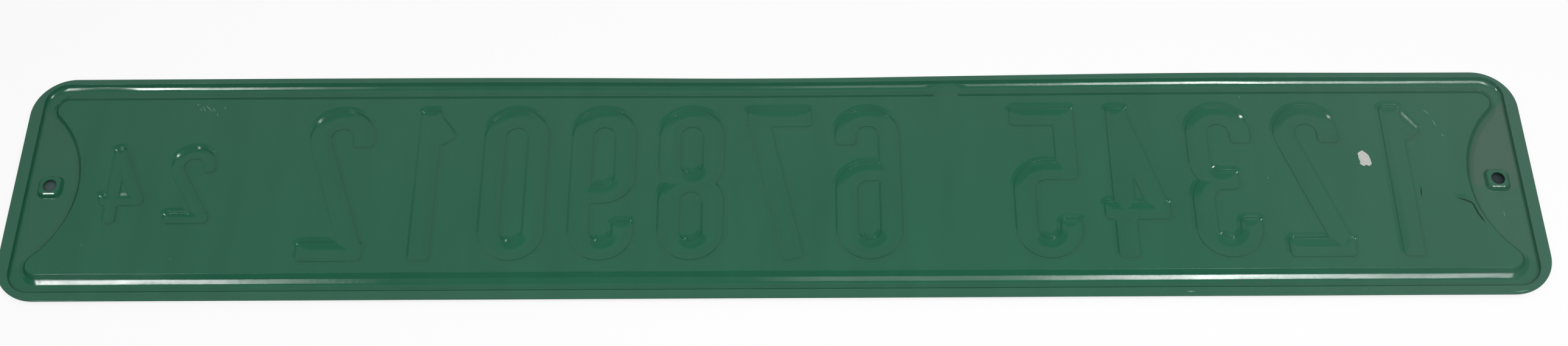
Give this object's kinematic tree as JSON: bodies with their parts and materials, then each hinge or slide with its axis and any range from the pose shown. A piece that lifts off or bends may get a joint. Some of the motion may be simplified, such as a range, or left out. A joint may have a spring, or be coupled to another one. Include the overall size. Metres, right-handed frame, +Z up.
{
  "type": "street name sign blade",
  "caption": "Long pressed steel street sign blade with a beaded border, sunk rounded ends, square bolt pads and raised figures, lying on its front.",
  "frame": {"origin": "middle of the blade's length and width, at the level of its lowest pressed faces, on which it lies", "axes": "+X along the blade, to the right when its back is seen from above with the figures' tops away; +Y across the blade towards the tops of the figures; +Z up, out of the blade's back"},
  "size_m": [0.9144, 0.1524, 0.0044],
  "materials": {
    "painted_steel": "glossy green enamel on steel sheet, lightly worn"
  },
  "bodies": {
    "root": {"sign_blade": "painted_steel"}
  },
  "joints": []
}
